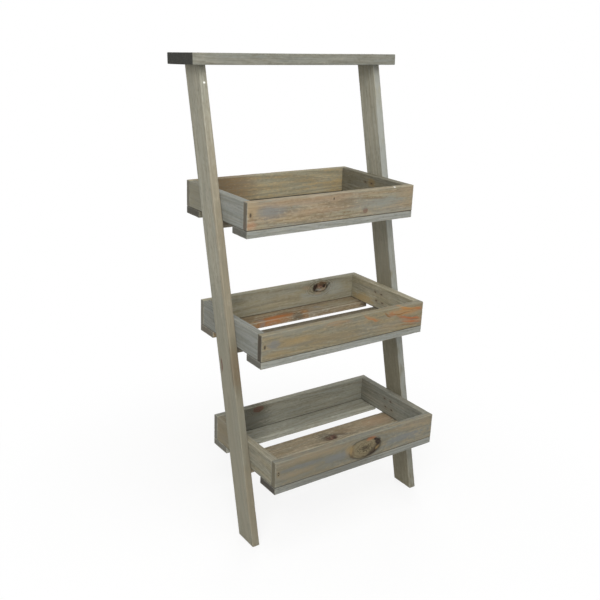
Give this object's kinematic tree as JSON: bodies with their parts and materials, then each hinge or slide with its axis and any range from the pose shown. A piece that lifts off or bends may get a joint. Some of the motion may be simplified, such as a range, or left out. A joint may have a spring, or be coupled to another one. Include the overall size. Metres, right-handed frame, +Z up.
{
  "type": "leaning plant stand",
  "caption": "Wall-leaning ladder plant stand of weathered grey planks: raked stringers carry level open trays with slatted floors under a flat top board.",
  "frame": {"origin": "on the floor, under the middle of the stand's box", "axes": "+X to the right across the stand, +Y back towards the wall, +Z up"},
  "size_m": [0.515, 0.3786, 1],
  "materials": {
    "top_board_wood": "grey-washed weathered softwood, matte",
    "stringer_wood": "grey-washed weathered softwood, matte",
    "tray_wood": "grey-washed weathered softwood, matte",
    "slat_wood": "grey-washed weathered softwood, matte",
    "nail_steel": "dulled steel wire, rust-stained"
  },
  "bodies": {
    "root": {"top_board": "top_board_wood", "left_stringer": "stringer_wood", "right_stringer": "stringer_wood", "upper_tray_front": "tray_wood", "upper_tray_back": "tray_wood", "upper_tray_left_side": "tray_wood", "upper_tray_right_side": "tray_wood", "upper_tray_front_slat": "slat_wood", "upper_tray_middle_slat": "slat_wood", "upper_tray_back_slat": "slat_wood", "upper_tray_corner_nails": "nail_steel", "upper_tray_slat_nails": "nail_steel", "upper_tray_stringer_nails": "nail_steel", "middle_tray_front": "tray_wood", "middle_tray_back": "tray_wood", "middle_tray_left_side": "tray_wood", "middle_tray_right_side": "tray_wood", "middle_tray_front_slat": "slat_wood", "middle_tray_middle_slat": "slat_wood", "middle_tray_back_slat": "slat_wood", "middle_tray_corner_nails": "nail_steel", "middle_tray_slat_nails": "nail_steel", "middle_tray_stringer_nails": "nail_steel", "lower_tray_front": "tray_wood", "lower_tray_back": "tray_wood", "lower_tray_left_side": "tray_wood", "lower_tray_right_side": "tray_wood", "lower_tray_front_slat": "slat_wood", "lower_tray_middle_slat": "slat_wood", "lower_tray_back_slat": "slat_wood", "lower_tray_corner_nails": "nail_steel", "lower_tray_slat_nails": "nail_steel", "lower_tray_stringer_nails": "nail_steel", "top_board_nails": "nail_steel"}
  },
  "joints": []
}
